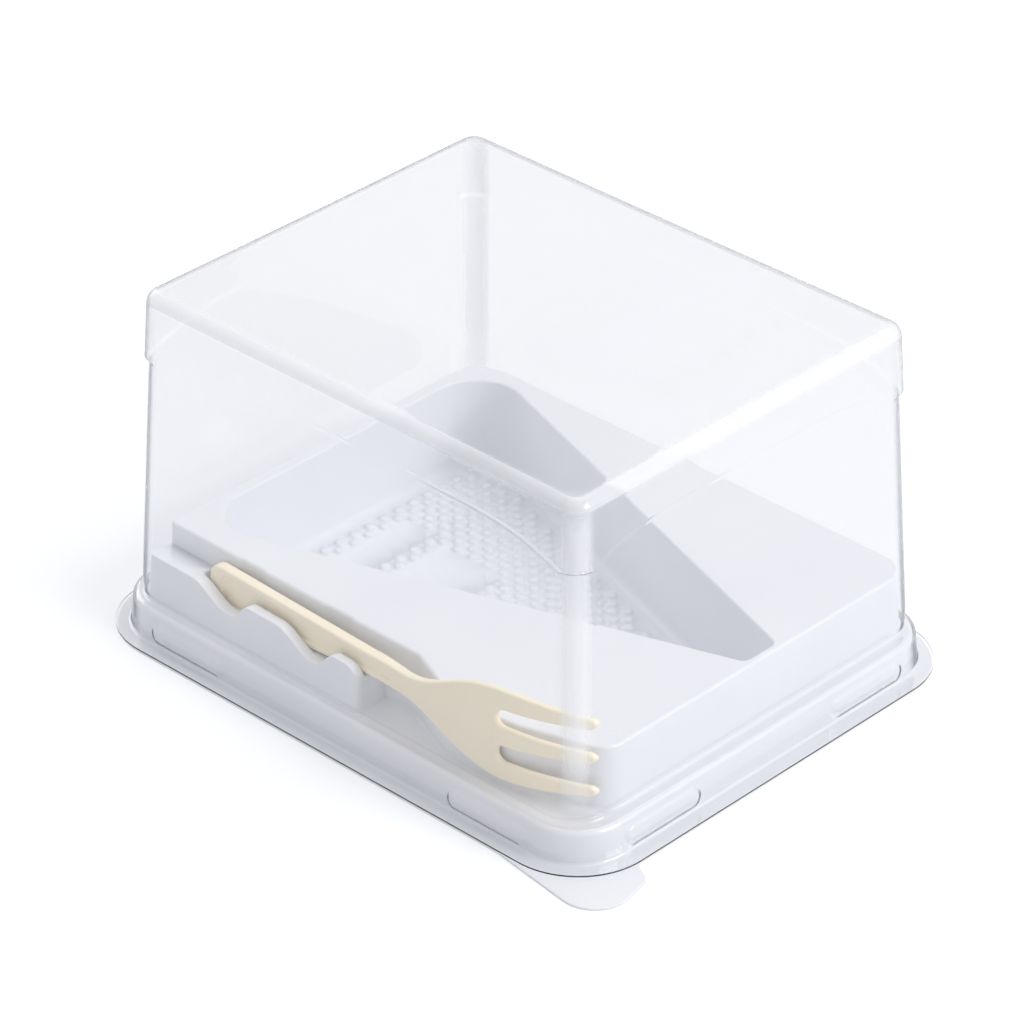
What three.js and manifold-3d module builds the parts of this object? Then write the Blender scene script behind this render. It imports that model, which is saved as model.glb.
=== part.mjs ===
// Dessert container: a clear thermoformed lid over a white thermoformed tray with a fork.
//
// Both formed pieces are sheets of even thickness. Each sheet is the solid form of its mould side,
// less the same form drawn inwards by the wall. A form is a stack of rounded outlines, so every
// wall, gap and nesting face comes from one outline and the distance it is drawn in.
//
// Frame: X along the long side, -Y towards the fork, +Z up. The tray's flange rests on Z = 0, and
// the origin lies under the middle of the overall box, tab included.
import * as THREE from 'three';
import Module from 'manifold-3d';

const wasm = await Module();
wasm.setup();

// Sheets and the gap between the nested pieces, in millimetres
const lidWall = 0.4;
const trayWall = 0.45;
const nestGap = 0.35;

// Flange and skirt, measured on the lid's outside
const flangeLength = 165.7;
const flangeDepth = 135;
const flangeCorner = 19.6;
const skirtTopLength = 155.2;
const skirtTopDepth = 125.6;
const skirtCorner = 14;
const skirtTop = 9.85;
const skirtSlope = 0.1;
const skirtFillet = 1.6;

// Clear dome above the skirt
const domeTop = 92.5;
const domeFootLength = 147.5;
const domeFootDepth = 119.7;
const domeSlope = 0.0505;
const domeCorner = 8;
const capCorner = 4.5;
const capHeight = 12.5;
const capTaper = 7;
const capProud = 0.35;
const capTaperDepth = 1.1;
const topFillet = 3.2;

// Snap lugs on the skirt
const lugLength = 26;
const lugHeight = 6;
const lugMiddle = 4.7;
const lugRamp = 1.5;
const lidLugProud = 0.7;
const trayLugProud = 0.45;
const frontLugPlace = 49.5;
const sideLugPlace = 35.5;

// White plinth that fills the dome's foot
const plinthTop = 25.8;
const plinthGap = 0.6;
const plinthLeftGap = 1.9;
const plinthFillet = 0.8;
const stepBack = 48.8;
const bulgeStart = 14;
const bulgeLeft = 28;
const bulgeRight = 48;
const bulgeReach = 54.6;
const noseReach = 47.4;

// Wedge pocket for a slice of cake
const pocketLeft = -66.8;
const pocketRight = 70;
const pocketFloor = 3;
const pocketSlope = 0.1;
const pocketAxis = 6.1;
const pocketTipWidth = 10.6;
const pocketEndWidth = 103;
const pocketEndCorner = 12;
const pocketTipCorner = 2.5;
const pocketFillet = 1.5;
const pocketRim = 0.7;

// Rail that holds the fork's handle on its edge
const railTop = 20.6;
const railLeft = -70;
const railRight = 5.7;
const railReach = 56.2;
const railRoot = 8;
const railSlope = 0.18;
const railCorner = 5;
const railFillet = 0.8;
const railEndRound = 5;
const slotLeft = -53.8;
const slotClearance = 0.35;
const scallopPlaces = [-42, -13];
const scallopDepth = 4;
const scallopFootWidth = 8;
const scallopTopWidth = 17;
const scallopCorner = 2.5;
const fingerWidth = 8.6;
const fingerDepth = 0.8;
const fingerCorner = 0.6;

// Tab on the tray's flange, for pulling the pack open
const tabCorner = 9;
const tabReach = 10;
const tabDrop = 4.8;
const tabWidth = 20.3;
const tabSkew = 4.5;
const tabTipCorner = 3;
const tabRoot = 27;

// Fork, on its edge, leaning up and outwards from its tail
const forkTail = -52.4;
const forkLength = 124;
const forkRise = 0.064;
const forkSplay = 0.036;
const tailHeight = 10;
const tailCorner = 4;
const handleThickness = 2.8;
const neckStart = 2;
const neckEnd = 15;
const neckHeight = 6;
const headMiddle = 49;
const headWidth = 24.4;
const headThickness = 1.7;
const headClearance = 1;
const headCrown = 0.8;
const shoulder = 16;
const headTaper = 8;
const outwardLead = 4;
const cheek = 0.6;
const slotRoot = 46.8;
const slotRootPlace = 4.9;
const slotRootGap = 4.6;
const tipPitch = 9.1;
const tipWidth = 2.8;
const tipSetback = 2.9;
const webDepth = 0.5;
const webRim = 1.6;

// Steps in a rounded corner, and how far cutting shapes run past what they cut
const cornerSteps = 6;
const below = -1;
const margin = 6;
const trayOffset = lidWall + nestGap;
const trayInside = trayOffset + trayWall;
const lidFlangeFoot = trayWall + nestGap;

// Outline points of a closed polygon with rounded corners, drawn inwards by inset. The corners are
// [x, y, radius], counter-clockwise. An outside corner's radius shrinks as the outline is drawn in,
// an inside corner's grows, so the outlines stay parallel.
function roundedOutline(corners, inset, steps = cornerSteps) {
  const points = [];
  const count = corners.length;
  for (let i = 0; i < count; i += 1) {
    const [x, y, radius] = corners[i];
    const before = corners[(i + count - 1) % count];
    const after = corners[(i + 1) % count];
    const inward = new THREE.Vector2(x - before[0], y - before[1]).normalize();
    const outward = new THREE.Vector2(after[0] - x, after[1] - y).normalize();
    const normalIn = new THREE.Vector2(-inward.y, inward.x);
    const normalOut = new THREE.Vector2(-outward.y, outward.x);
    const turn = Math.atan2(inward.cross(outward), inward.dot(outward));
    const side = Math.sign(turn);
    const reach = inset / (1 + normalIn.dot(normalOut));
    const corner = normalIn.clone().add(normalOut).multiplyScalar(reach);
    corner.x += x;
    corner.y += y;
    const rounded = Math.max(radius - side * inset, 0.05);
    const tangent = rounded * Math.tan(Math.abs(turn) / 2);
    const start = corner.clone().addScaledVector(inward, -tangent);
    const centre = start.clone().addScaledVector(normalIn, side * rounded);
    const first = Math.atan2(start.y - centre.y, start.x - centre.x);
    for (let k = 0; k <= steps; k += 1) {
      const angle = first + turn * k / steps;
      points.push([centre.x + rounded * Math.cos(angle), centre.y + rounded * Math.sin(angle)]);
    }
  }
  return points;
}

// Four corners of a rectangle, all with one radius.
function rectangle(left, right, front, back, radius) {
  return [[left, front, radius], [right, front, radius], [right, back, radius], [left, back, radius]];
}

// Closed solid through rings of equal point counts, from the lowest ring to the highest.
function loft(rings) {
  const count = rings[0].length;
  const positions = rings.flat(2);
  const faces = [];
  for (let r = 0; r + 1 < rings.length; r += 1) {
    for (let i = 0; i < count; i += 1) {
      const a = r * count + i;
      const b = r * count + (i + 1) % count;
      faces.push(a, b, b + count, a, b + count, a + count);
    }
  }
  const cap = (ring) => {
    const flat = ring.map(([x, y]) => new THREE.Vector2(x, y));
    return THREE.ShapeUtils.triangulateShape(flat, []);
  };
  for (const [a, b, c] of cap(rings[0])) {
    faces.push(a, c, b);
  }
  const last = (rings.length - 1) * count;
  for (const [a, b, c] of cap(rings[rings.length - 1])) {
    faces.push(last + a, last + b, last + c);
  }
  return { positions, faces };
}

// Turns a loft into a solid. The place function maps each local point into the part's frame.
function solid({ positions, faces }, place = null) {
  const vertices = new Float32Array(positions);
  if (place) {
    for (let i = 0; i < vertices.length; i += 3) {
      vertices.set(place(vertices[i], vertices[i + 1], vertices[i + 2]), i);
    }
  }
  const mesh = new wasm.Mesh({
    numProp: 3,
    vertProperties: vertices,
    triVerts: new Uint32Array(faces),
  });
  mesh.merge();
  return new wasm.Manifold(mesh);
}

// Stack of one outline, drawn in by each level's inset: levels are [inset, z], from low to high.
function stack(corners, levels, steps = cornerSteps) {
  return loft(levels.map(([inset, z]) => (
    roundedOutline(corners, inset, steps).map(([x, y]) => [x, y, z])
  )));
}

// Levels of a form that leans in by slope as it rises and ends in a rounded top edge. The outline
// belongs to the height top, and the whole form is drawn in by offset.
function leaningLevels(slope, foot, top, fillet, offset, filletSteps = 4) {
  const crown = top - offset;
  const radius = Math.max(fillet - offset, 0.05);
  const levels = [[offset - slope * (top - foot), foot]];
  for (let k = 0; k <= filletSteps; k += 1) {
    const angle = k / filletSteps * Math.PI / 2;
    const z = crown - radius + radius * Math.sin(angle);
    levels.push([offset - slope * (top - z) + radius * (1 - Math.cos(angle)), z]);
  }
  return levels;
}

const skirtCorners = rectangle(
  -skirtTopLength / 2, skirtTopLength / 2, -skirtTopDepth / 2, skirtTopDepth / 2, skirtCorner,
);
const flangeCorners = rectangle(
  -flangeLength / 2, flangeLength / 2, -flangeDepth / 2, flangeDepth / 2, flangeCorner,
);

// One lug: a long rounded rise on the skirt that leans with it, with ramps all round.
function lug(half, along, quarter, proud, offset) {
  const length = lugLength / 2 - offset;
  const height = lugHeight / 2 - offset;
  const depths = [[0, -2], [0, 0], [lugRamp, proud]];
  const rings = depths.map(([inset, depth]) => (
    roundedOutline(rectangle(-length, length, -height, height, height), inset)
      .map(([u, v]) => [u, v, depth])
  ));
  const turn = quarter * Math.PI / 2;
  return solid(loft(rings), (u, v, depth) => {
    const z = lugMiddle + v;
    const out = half + skirtSlope * (skirtTop - z) - offset + depth;
    const x = along + u;
    return [x * Math.cos(turn) + out * Math.sin(turn), x * Math.sin(turn) - out * Math.cos(turn), z];
  });
}

// Skirt with its lugs, drawn in by offset: the lid and the tray are both made from it.
function skirtForm(offset, foot, proud) {
  const levels = leaningLevels(skirtSlope, foot, skirtTop, skirtFillet, offset);
  let form = solid(stack(skirtCorners, levels));
  for (let quarter = 0; quarter < 4; quarter += 1) {
    const long = quarter % 2 === 0;
    const half = (long ? skirtTopDepth : skirtTopLength) / 2;
    const place = long ? frontLugPlace : sideLugPlace;
    form = form.add(lug(half, -place, quarter, proud, offset));
    form = form.add(lug(half, place, quarter, proud, offset));
  }
  return form;
}

// Dome: a leaning body with soft corners, under a cap with tighter corners that stands proud of it
// and tapers back into it, so the cap's lower edge runs down to a point at each corner.
function domeCorners(z, radius) {
  const lean = domeSlope * (z - skirtTop);
  const long = domeFootLength / 2 - lean;
  const deep = domeFootDepth / 2 - lean;
  return rectangle(-long, long, -deep, deep, radius);
}
function domeForm(offset) {
  const foot = skirtTop - skirtFillet - offset;
  const bodyTop = domeTop - topFillet - offset;
  const body = [foot, bodyTop].map((z) => (
    roundedOutline(domeCorners(z, domeCorner), offset).map(([x, y]) => [x, y, z])
  ));
  const capFoot = domeTop - capHeight;
  const levels = leaningLevels(domeSlope, capFoot, domeTop, topFillet, offset, 5);
  const cap = levels.map(([inset, z]) => [inset - capProud, z]);
  const taperFoot = capFoot - capTaper;
  cap.unshift([offset + capTaperDepth - domeSlope * (domeTop - taperFoot), taperFoot]);
  return solid(loft(body)).add(solid(stack(domeCorners(domeTop, capCorner), cap)));
}

// Clear lid: dome, skirt and a flat flange that rests over the tray's flange.
function makeLid() {
  const flange = solid(stack(flangeCorners, [[0, lidFlangeFoot], [0, lidFlangeFoot + lidWall]]));
  const outside = flange.add(skirtForm(0, lidFlangeFoot, lidLugProud)).add(domeForm(0));
  const inside = skirtForm(lidWall, below, lidLugProud).add(domeForm(lidWall));
  return outside.subtract(inside);
}

// Half sizes of the plinth's top: it follows the inside of the dome at a constant gap.
const plinthSide = domeFootLength / 2 - domeSlope * (plinthTop - skirtTop) - lidWall - plinthGap;
const plinthBack = domeFootDepth / 2 - domeSlope * (plinthTop - skirtTop) - lidWall - plinthGap;
const plinthCorner = domeCorner - lidWall;
const plinthCorners = [
  [-plinthSide + plinthLeftGap - plinthGap, -stepBack, 2],
  [bulgeStart, -stepBack, 3],
  [bulgeLeft, -bulgeReach, 9],
  [bulgeRight, -bulgeReach, 26],
  [plinthSide, -noseReach, 6],
  [plinthSide, plinthBack, plinthCorner],
  [-plinthSide + plinthLeftGap - plinthGap, plinthBack, 10],
];

// Wedge pocket with a rounded floor edge and rim, grown outwards by the wall for the inside form.
function pocketForm(wall) {
  const corners = [
    [pocketLeft, pocketAxis - pocketEndWidth / 2, pocketEndCorner],
    [pocketRight, pocketAxis - pocketTipWidth / 2, pocketTipCorner],
    [pocketRight, pocketAxis + pocketTipWidth / 2, pocketTipCorner],
    [pocketLeft, pocketAxis + pocketEndWidth / 2, pocketEndCorner],
  ];
  const floor = pocketFloor - wall;
  const fillet = pocketFillet + wall;
  const rim = pocketRim - wall;
  const steps = 3;
  const floorLevels = [];
  const rimLevels = [];
  for (let k = 0; k <= steps; k += 1) {
    const angle = k / steps * Math.PI / 2;
    const low = floor + fillet * (1 - Math.cos(angle));
    floorLevels.push([pocketSlope * (plinthTop - low) + fillet * (1 - Math.sin(angle)) - wall, low]);
    const high = plinthTop - pocketRim + rim * Math.sin(angle);
    rimLevels.push([pocketSlope * (plinthTop - high) - rim * (1 - Math.cos(angle)) - wall, high]);
  }
  rimLevels.push([-pocketRim, plinthTop + 1]);
  return solid(stack(corners, [...floorLevels, ...rimLevels]));
}

// Fork's middle line in plan: clear of the drafted step at its tail, then splayed outwards.
const slotFloor = railTop - tailHeight + 1;
const stepFoot = stepBack + domeSlope * (plinthTop - slotFloor);
const tailY = -stepFoot - slotClearance - handleThickness / 2;
function handleY(x) {
  return tailY - forkSplay * (x - forkTail);
}

// Prism along Y of corners given as [x, z, radius], grown outwards, from depth near to depth far.
// Depths are distances in front of the part's middle plane.
function prismAcross(corners, growth, near, far) {
  const ring = roundedOutline(corners, -growth);
  const ends = [near, far].map((depth) => ring.map(([x, z]) => [x, z, depth]));
  return solid(loft(ends), (x, z, depth) => [x, -depth, z]);
}

// Rail with its rounded right end, handle slot and finger scallops, drawn in by offset.
function railForm(offset) {
  const inside = -stepBack + railRoot;
  const block = solid(stack(
    [
      [railLeft, -railReach, 2],
      [railRight, -railReach, railCorner],
      [railRight, inside, 1],
      [railLeft, inside, 1],
    ],
    leaningLevels(railSlope, below, railTop, railFillet, offset, 3),
  ));
  const near = -inside - margin;
  const far = railReach + railSlope * (railTop - below) + margin;
  const side = [
    [railLeft - margin, below, 1],
    [railRight + railSlope * (railTop - below), below, 1],
    [railRight, railTop, railEndRound],
    [railLeft - margin, railTop, 1],
  ];
  const slotSide = handleThickness / 2 + slotClearance;
  const slotRight = railRight + 2 * margin;
  const slotCorners = [
    [slotLeft, handleY(slotLeft) - slotSide, 1],
    [slotRight, handleY(slotRight) - slotSide, 1],
    [slotRight, inside + margin, 1],
    [slotLeft, inside + margin, 1],
  ];
  const slot = solid(stack(slotCorners, [
    [-offset, slotFloor - offset],
    [-offset, railTop + margin],
  ]));
  let rail = block.intersect(prismAcross(side, -offset, near, far)).subtract(slot);
  for (const place of scallopPlaces) {
    const foot = railTop - scallopDepth;
    const lean = (scallopTopWidth - scallopFootWidth) / 2 / scallopDepth;
    const corners = [
      [place - scallopFootWidth / 2, foot, scallopCorner],
      [place + scallopFootWidth / 2, foot, scallopCorner],
      [place + scallopTopWidth / 2 + margin * lean, railTop + margin, 1],
      [place - scallopTopWidth / 2 - margin * lean, railTop + margin, 1],
    ];
    rail = rail.subtract(prismAcross(corners, offset, near, far));
  }
  return rail;
}

// Plinth with its finger recesses and rounded top edge, drawn in by offset.
function plinthForm(offset) {
  const levels = leaningLevels(domeSlope, below, plinthTop, plinthFillet, offset, 3);
  let plinth = solid(stack(plinthCorners, levels));
  for (const place of scallopPlaces) {
    const corners = rectangle(
      place - fingerWidth / 2, place + fingerWidth / 2,
      -stepBack - margin, -stepBack + fingerDepth, fingerCorner,
    );
    const cut = stack(corners, [[-offset, slotFloor - offset], [-offset, plinthTop + margin]]);
    plinth = plinth.subtract(solid(cut));
  }
  return plinth;
}

// White tray: flange with its tab, skirt, plinth with the pocket, and the fork's rail.
const tabFront = -flangeDepth / 2 - tabDrop;
const tabBack = tabFront + tabWidth;
const tabCorners = [
  [flangeLength / 2 - tabRoot, -flangeDepth / 2 + flangeCorner / 2, 1],
  [flangeLength / 2 - tabRoot, -flangeDepth / 2 + 2 * nestGap, 1],
  [flangeLength / 2 + tabReach, tabFront, tabCorner],
  [flangeLength / 2 + tabReach - tabSkew, tabBack, tabTipCorner],
  [flangeLength / 2 - 2 * trayOffset, tabBack + tabTipCorner, 1],
];
function makeTray() {
  const flange = solid(stack(flangeCorners, [[nestGap, 0], [nestGap, trayWall]]));
  const tab = solid(stack(tabCorners, [[0, 0], [0, trayWall]]));
  const outside = flange.add(tab)
    .add(skirtForm(trayOffset, 0, trayLugProud))
    .add(plinthForm(0))
    .add(railForm(0))
    .subtract(pocketForm(0));
  const inside = skirtForm(trayInside, below, trayLugProud)
    .add(plinthForm(trayWall))
    .add(railForm(trayWall))
    .subtract(pocketForm(trayWall));
  const table = solid(stack(flangeCorners, [[-margin, below - margin], [-margin, 0]]));
  return outside.subtract(inside).subtract(table);
}

// Fork's middle surface: out from the handle round the bulge, then back towards the nose.
const headY = -bulgeReach - headClearance - headThickness / 2 - headCrown;
const forkTip = forkTail + forkLength;
const tipY = -noseReach - tipSetback;
function smooth(t) {
  const s = Math.min(Math.max(t, 0), 1);
  return s * s * (3 - 2 * s);
}
function forkY(x) {
  const bulge = headY - handleY(headMiddle);
  const out = smooth((x - neckStart) / (bulgeLeft + outwardLead - neckStart));
  const turn = headMiddle - headTaper;
  const back = Math.max(0, (x - turn) / (forkTip - turn));
  return handleY(x) + bulge * out + (tipY - handleY(forkTip) - bulge) * back * back;
}
function forkThickness(x) {
  const thin = smooth((x - neckStart) / (headMiddle - shoulder - neckStart));
  return handleThickness + (headThickness - handleThickness) * thin;
}
const tailZ = slotFloor + slotClearance + tailHeight / 2;
function forkZ(x) {
  return tailZ + forkRise * (x - forkTail);
}

// Fork's silhouette, along its middle line: tail, neck, head and three tines.
function forkOutline() {
  const tail = tailHeight / 2;
  const neck = neckHeight / 2;
  const head = headWidth / 2;
  const tipHalf = tipWidth / 2;
  const tipStart = forkTip - tipHalf;
  const outer = tipPitch + tipHalf;
  const shape = new THREE.Shape();
  shape.moveTo(forkTail + tailCorner, -tail);
  shape.lineTo(neckStart, -neck);
  shape.lineTo(neckEnd, -neck);
  const flare = shoulder * 0.75;
  shape.bezierCurveTo(neckEnd + flare, -neck, headMiddle - shoulder, -head, headMiddle, -head);
  shape.bezierCurveTo(
    headMiddle + headTaper, -head, tipStart - headTaper, -outer - cheek, tipStart, -outer,
  );
  for (const tine of [-1, 0, 1]) {
    const middle = tine * tipPitch;
    shape.quadraticCurveTo(forkTip + tipHalf * 0.6, middle, tipStart, middle + tipHalf);
    if (tine < 1) {
      const axis = (tine + 0.5) * 2 * slotRootPlace;
      const radius = slotRootGap / 2;
      shape.lineTo(slotRoot + radius, axis - radius);
      shape.absarc(slotRoot + radius, axis, radius, -Math.PI / 2, Math.PI / 2, true);
      shape.lineTo(tipStart, middle + tipPitch - tipHalf);
    }
  }
  shape.bezierCurveTo(
    tipStart - headTaper, outer + cheek, headMiddle + headTaper, head, headMiddle, head,
  );
  shape.bezierCurveTo(headMiddle - shoulder, head, neckEnd + flare, neck, neckEnd, neck);
  shape.lineTo(neckStart, neck);
  shape.lineTo(forkTail + tailCorner, tail);
  shape.quadraticCurveTo(forkTail, tail, forkTail, 0);
  shape.quadraticCurveTo(forkTail, -tail, forkTail + tailCorner, -tail);
  const points = shape.getPoints(8);
  return points.filter((point, i) => (
    point.distanceTo(points[(i + points.length - 1) % points.length]) > 0.02
  ));
}

// Upright prism of an outline given along the fork: from depth near to depth far, both positive
// distances in front of the part's middle plane.
function prismAlongFork(outline, near, far) {
  const rings = [near, far].map((depth) => outline.map(([x, v]) => [x, v, depth]));
  return solid(loft(rings), (x, v, depth) => [x, -depth, v + forkZ(x)]);
}

// Fork: a bent slab trimmed to the silhouette, with a shallow web in each side of the handle.
function makeFork() {
  const stations = 40;
  const across = 6;
  const spread = headWidth * 0.6;
  const rings = [];
  for (let i = 0; i <= stations; i += 1) {
    const x = forkTail - 1 + (forkLength + 2) * i / stations;
    const half = forkThickness(x) / 2;
    const bowl = headCrown * smooth((x - neckEnd) / (headMiddle - 6 - neckEnd));
    const side = (sign) => Array.from({ length: across + 1 }, (_, k) => {
      const v = -1 + 2 * k / across;
      return [forkY(x) + bowl * v * v + sign * half, forkZ(x) + spread * v, x];
    });
    rings.push([...side(1), ...side(-1).reverse()]);
  }
  const slab = solid(loft(rings), (y, z, x) => [x, y, z]);
  const outline = forkOutline().map((point) => [point.x, point.y]);
  let fork = slab.intersect(prismAlongFork(outline, -tailY - margin, -headY + margin));
  const webLeft = forkTail + tailCorner;
  const webRight = neckEnd - outwardLead;
  const webTail = tailHeight / 2 - webRim;
  const webNeck = neckHeight / 2 - webRim;
  const web = roundedOutline([
    [webLeft, -webTail, 1.5],
    [webRight, -webNeck, 1],
    [webRight, webNeck, 1],
    [webLeft, webTail, 1.5],
  ], 0);
  for (const side of [-1, 1]) {
    const face = handleThickness / 2 - webDepth;
    const depths = side < 0 ? [face + margin, face] : [face, face + margin];
    const ends = depths.map((depth) => web.map(([x, v]) => [x, v, side * depth - handleY(x)]));
    fork = fork.subtract(solid(loft(ends), (x, v, depth) => [x, -depth, v + forkZ(x)]));
  }
  return fork;
}

// Named mesh of a solid, in its own colour, moved so that the origin is under the box's middle.
const tabOutline = roundedOutline(tabCorners, 0);
const reachX = Math.max(...tabOutline.map(([x]) => x));
const reachY = Math.min(...tabOutline.map(([, y]) => y));
const centreX = (reachX - flangeLength / 2) / 2;
const centreY = (reachY + flangeDepth / 2) / 2;
function namedMesh(name, shape, finish) {
  const { vertProperties, triVerts } = shape.getMesh();
  const geometry = new THREE.BufferGeometry();
  geometry.setAttribute('position', new THREE.BufferAttribute(new Float32Array(vertProperties), 3));
  geometry.setIndex(new THREE.BufferAttribute(new Uint32Array(triVerts), 1));
  geometry.computeVertexNormals();
  const mesh = new THREE.Mesh(geometry, new THREE.MeshStandardMaterial(finish));
  mesh.name = name;
  return mesh;
}

const clear = { color: 0xf4f7fa, roughness: 0.05, metalness: 0, transparent: true, opacity: 0.3 };
const white = { color: 0xe9ebef, roughness: 0.3, metalness: 0 };
const cream = { color: 0xede0bd, roughness: 0.35, metalness: 0 };

const container = new THREE.Group();
container.position.set(-centreX, -centreY, 0);
container.add(namedMesh('clear_lid', makeLid(), clear));
container.add(namedMesh('base_tray', makeTray(), white));
container.add(namedMesh('dessert_fork', makeFork(), cream));

export default container;
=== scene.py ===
import bmesh
import bpy
import numpy as np
from mathutils import Euler, Matrix, Vector
from mathutils.geometry import delaunay_2d_cdt


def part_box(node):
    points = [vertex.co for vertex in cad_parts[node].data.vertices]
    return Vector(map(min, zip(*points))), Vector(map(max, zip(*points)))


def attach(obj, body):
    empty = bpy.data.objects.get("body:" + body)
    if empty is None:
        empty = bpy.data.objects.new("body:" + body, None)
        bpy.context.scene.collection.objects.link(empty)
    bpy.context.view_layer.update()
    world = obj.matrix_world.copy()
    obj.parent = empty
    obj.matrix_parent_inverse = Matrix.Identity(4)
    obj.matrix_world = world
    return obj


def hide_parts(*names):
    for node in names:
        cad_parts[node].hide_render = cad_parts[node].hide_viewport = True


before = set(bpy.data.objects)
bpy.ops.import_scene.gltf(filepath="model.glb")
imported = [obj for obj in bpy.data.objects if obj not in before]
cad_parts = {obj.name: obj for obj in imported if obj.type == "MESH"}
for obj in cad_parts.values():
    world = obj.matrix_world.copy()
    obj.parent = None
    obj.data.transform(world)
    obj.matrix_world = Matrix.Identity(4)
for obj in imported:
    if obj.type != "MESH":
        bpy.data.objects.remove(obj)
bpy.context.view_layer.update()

mm = 0.001
merge_distance = 0.001 * mm

# Viewpoint and room. The camera stands at the photograph's viewing angle, fitted to the straight
# edges of the pack. It aims past the middle of the clear lid, whose box gives the pack's centre.
lid_low, lid_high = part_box("clear_lid")
pack_centre = np.array([(lid_low.x + lid_high.x) / 2, (lid_low.y + lid_high.y) / 2, 0.0])
view_azimuth = np.radians(43.832)
view_height = np.radians(31.894)
view_roll = np.radians(-0.110)
view_place = np.array([703.3, -736.0, 669.9]) * mm
view_lens = 177.9

camera_data = bpy.data.cameras.new("camera")
camera_data.lens = view_lens
camera_data.sensor_width = 36.0
camera_data.clip_start = 0.01
camera = bpy.data.objects.new("camera", camera_data)
turn = Euler((np.pi / 2 - view_height, 0.0, view_azimuth)).to_matrix().to_4x4()
camera.matrix_world = (
    Matrix.Translation(Vector(pack_centre + view_place)) @ turn @ Matrix.Rotation(view_roll, 4, "Z")
)
bpy.context.scene.collection.objects.link(camera)
bpy.context.scene.camera = camera
bpy.context.scene.view_settings.view_transform = "Standard"


def new_material(name):
    """Empty node material: returns the material, its nodes, its links and its output node."""
    material = bpy.data.materials.new(name)
    material.use_nodes = True
    nodes = material.node_tree.nodes
    nodes.clear()
    return material, nodes, material.node_tree.links, nodes.new("ShaderNodeOutputMaterial")


def seen_by_eye(nodes, links):
    """Mask that is 1 for camera, mirror and see-through rays: the greatest of the three."""
    path = nodes.new("ShaderNodeLightPath")
    first = nodes.new("ShaderNodeMath")
    first.operation = "MAXIMUM"
    second = nodes.new("ShaderNodeMath")
    second.operation = "MAXIMUM"
    links.new(path.outputs["Is Camera Ray"], first.inputs[0])
    links.new(path.outputs["Is Glossy Ray"], first.inputs[1])
    links.new(first.outputs[0], second.inputs[0])
    links.new(path.outputs["Is Transmission Ray"], second.inputs[1])
    return second.outputs[0]


room_light = 0.67
world = bpy.data.worlds.new("studio")
bpy.context.scene.world = world
world.use_nodes = True
world_nodes = world.node_tree.nodes
world_links = world.node_tree.links
world_nodes.clear()
world_out = world_nodes.new("ShaderNodeOutputWorld")
dim = world_nodes.new("ShaderNodeBackground")
dim.inputs["Color"].default_value = (0.975, 0.98, 1.0, 1.0)
dim.inputs["Strength"].default_value = room_light
bright = world_nodes.new("ShaderNodeBackground")
bright.inputs["Color"].default_value = (1.0, 1.0, 1.0, 1.0)
bright.inputs["Strength"].default_value = 1.0
world_mix = world_nodes.new("ShaderNodeMixShader")
world_links.new(seen_by_eye(world_nodes, world_links), world_mix.inputs["Fac"])
world_links.new(dim.outputs[0], world_mix.inputs[1])
world_links.new(bright.outputs[0], world_mix.inputs[2])
world_links.new(world_mix.outputs[0], world_out.inputs["Surface"])

# Floor: matt with a faint glow near the pack, where it shows the shadow, and plain white far off.
floor_half = 3.0
floor_mesh = bpy.data.meshes.new("studio_floor")
floor_mesh.from_pydata(
    [(-floor_half, -floor_half, 0), (floor_half, -floor_half, 0), (floor_half, floor_half, 0),
     (-floor_half, floor_half, 0)], [], [(0, 1, 2, 3)])
studio_floor = bpy.data.objects.new("studio_floor", floor_mesh)
bpy.context.scene.collection.objects.link(studio_floor)
floor_paint, nodes, links, out = new_material("pale_floor")
matt = nodes.new("ShaderNodeBsdfDiffuse")
matt.inputs["Color"].default_value = (0.84, 0.85, 0.87, 1.0)
glow = nodes.new("ShaderNodeEmission")
glow.inputs["Color"].default_value = (1.0, 1.0, 1.0, 1.0)
glow_level = nodes.new("ShaderNodeMath")
glow_level.operation = "MULTIPLY"
glow_level.inputs[1].default_value = 0.17
eye = seen_by_eye(nodes, links)
links.new(eye, glow_level.inputs[0])
links.new(glow_level.outputs[0], glow.inputs["Strength"])
both = nodes.new("ShaderNodeAddShader")
links.new(matt.outputs[0], both.inputs[0])
links.new(glow.outputs[0], both.inputs[1])
white = nodes.new("ShaderNodeEmission")
white.inputs["Color"].default_value = (1.0, 1.0, 1.0, 1.0)
place = nodes.new("ShaderNodeTexCoord")
reach = nodes.new("ShaderNodeVectorMath")
reach.operation = "LENGTH"
links.new(place.outputs["Object"], reach.inputs[0])
far_part = nodes.new("ShaderNodeMapRange")
far_part.interpolation_type = "SMOOTHSTEP"
far_part.inputs["From Min"].default_value = 0.3
far_part.inputs["From Max"].default_value = 0.8
links.new(reach.outputs["Value"], far_part.inputs["Value"])
far_seen = nodes.new("ShaderNodeMath")
far_seen.operation = "MULTIPLY"
links.new(far_part.outputs["Result"], far_seen.inputs[0])
links.new(eye, far_seen.inputs[1])
floor_mix = nodes.new("ShaderNodeMixShader")
links.new(far_seen.outputs[0], floor_mix.inputs["Fac"])
links.new(both.outputs[0], floor_mix.inputs[1])
links.new(white.outputs[0], floor_mix.inputs[2])
links.new(floor_mix.outputs[0], out.inputs["Surface"])
studio_floor.data.materials.append(floor_paint)


def softbox(name, place, size, power):
    """White square area lamp at place, in metres, facing the tray."""
    data = bpy.data.lights.new(name, "AREA")
    data.shape = "SQUARE"
    data.size = size
    data.energy = power
    lamp = bpy.data.objects.new(name, data)
    lamp.location = place
    lamp.rotation_euler = (lamp_aim - Vector(place)).to_track_quat("-Z", "Y").to_euler()
    bpy.context.scene.collection.objects.link(lamp)


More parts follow.
